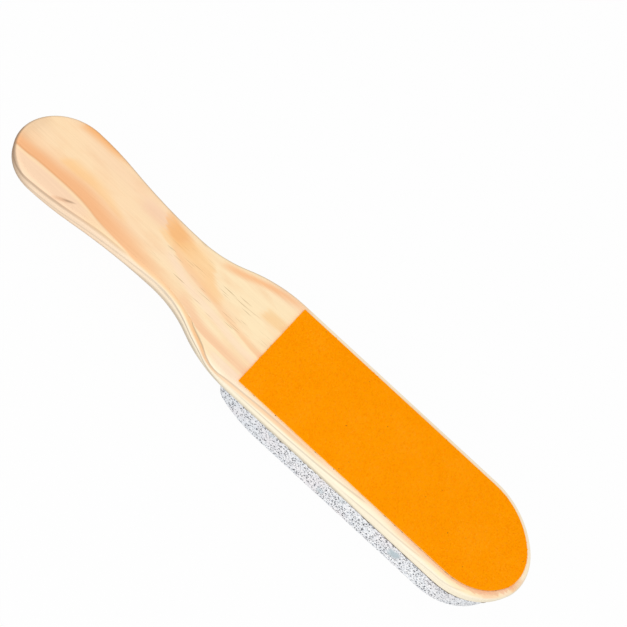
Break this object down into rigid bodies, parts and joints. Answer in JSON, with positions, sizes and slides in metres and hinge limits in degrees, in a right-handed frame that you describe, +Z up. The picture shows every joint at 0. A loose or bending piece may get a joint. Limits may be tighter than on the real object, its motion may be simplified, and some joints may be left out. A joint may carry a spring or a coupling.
{
  "type": "foot file",
  "caption": "Wooden foot file: a paddle with a waisted handle, a porous pumice stone glued under the blade and an orange abrasive sheet on top.",
  "frame": {"origin": "on the stone's working face, midway along the file's length and width", "axes": "+X along the file from the handle to the tip, +Z up from the stone's working face to the abrasive sheet"},
  "size_m": [0.25, 0.0494, 0.0202],
  "materials": {
    "pine": "planed and sanded, bare",
    "pumice": "open pores, matt",
    "stone_glue": "dried wood glue",
    "sheet_glue": "adhesive film",
    "backing_paper": "heavy abrasive paper",
    "orange_grit": "fine grain in coloured resin, matt"
  },
  "bodies": {
    "root": {"wooden_paddle": "pine", "pumice_stone": "pumice", "stone_glue_bed": "stone_glue", "sheet_glue_film": "sheet_glue", "sheet_backing": "backing_paper", "grit_coat": "orange_grit"}
  },
  "joints": []
}
